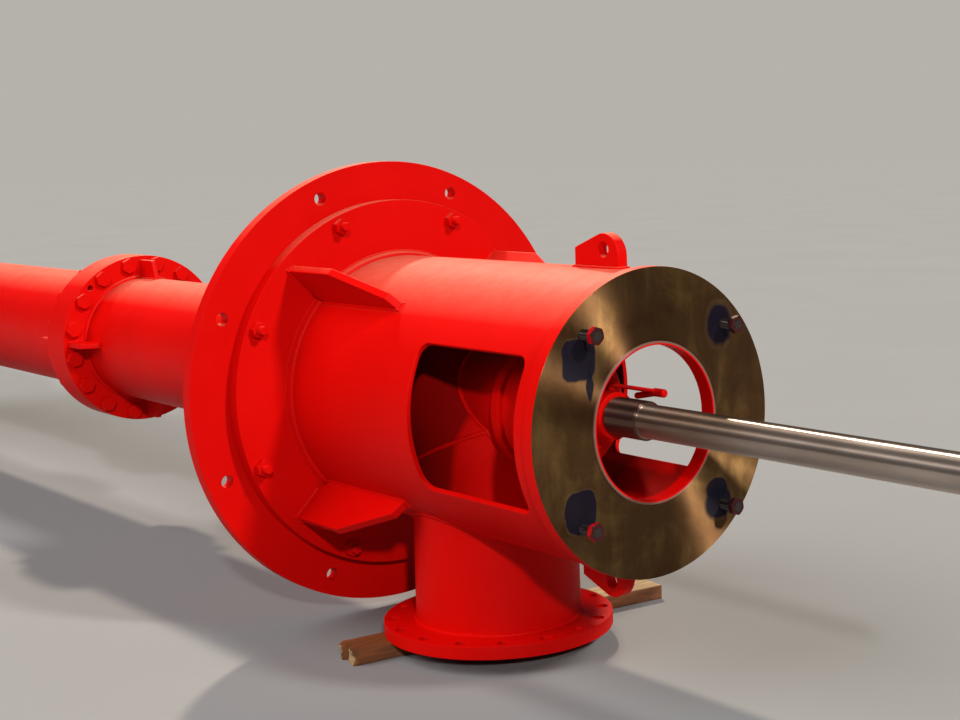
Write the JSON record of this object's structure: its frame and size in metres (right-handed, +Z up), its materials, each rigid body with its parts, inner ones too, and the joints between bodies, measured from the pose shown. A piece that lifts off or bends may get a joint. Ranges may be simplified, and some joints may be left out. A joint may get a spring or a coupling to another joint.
{
  "type": "vertical turbine pump",
  "caption": "Red vertical turbine pump lying on timber bearers: windowed discharge head with a motor flange, elbow, column pipe, bowls, bell and a free shaft.",
  "frame": {"origin": "on the ground, under the middle of the whole length and width of the pump as it lies", "axes": "+X along the pump axis towards the free end of the shaft, +Z up as the pump lies on its bearers"},
  "size_m": [7.1402, 1.1634, 1.1917],
  "materials": {
    "red_paint": "glossy",
    "machined_face": "machined",
    "bare_steel": "polished",
    "timber": "rough sawn"
  },
  "bodies": {
    "pump_frame": {"sole_plate": "red_paint", "head_base_flange": "red_paint", "base_collar": "red_paint", "head_barrel": "red_paint", "gusset_far_upper": "red_paint", "gusset_near_upper": "red_paint", "gusset_near_lower": "red_paint", "gusset_far_lower": "red_paint", "lifting_lug_top": "red_paint", "lifting_lug_bottom": "red_paint", "elbow_inlet": "red_paint", "elbow_heel": "red_paint", "discharge_pipe": "red_paint", "discharge_flange": "red_paint", "bearing_neck": "red_paint", "housing_flange": "red_paint", "stuffing_box": "red_paint", "gland": "red_paint", "upper_column_pipe": "red_paint", "lower_column_pipe": "red_paint", "upper_column_flange": "red_paint", "column_spacer_ring": "red_paint", "middle_column_flange": "red_paint", "lower_column_flange": "red_paint", "discharge_bowl": "red_paint", "pump_bowl": "red_paint", "suction_bell": "red_paint", "motor_flange": "machined_face", "motor_stud_far_upper": "bare_steel", "motor_stud_near_upper": "bare_steel", "motor_stud_near_lower": "bare_steel", "motor_stud_far_lower": "bare_steel", "front_bearer": "timber", "rear_baulk_lower": "timber", "rear_baulk_upper": "timber", "rear_saddle": "timber"},
    "shaft_line": {"pump_shaft": "bare_steel"}
  },
  "joints": [
    {"name": "shaft_spin", "type": "hinge", "parent": "pump_frame", "child": "shaft_line", "pos_m": [3, 0, 0.61], "axis": [1, 0, 0], "continuous": true}
  ]
}
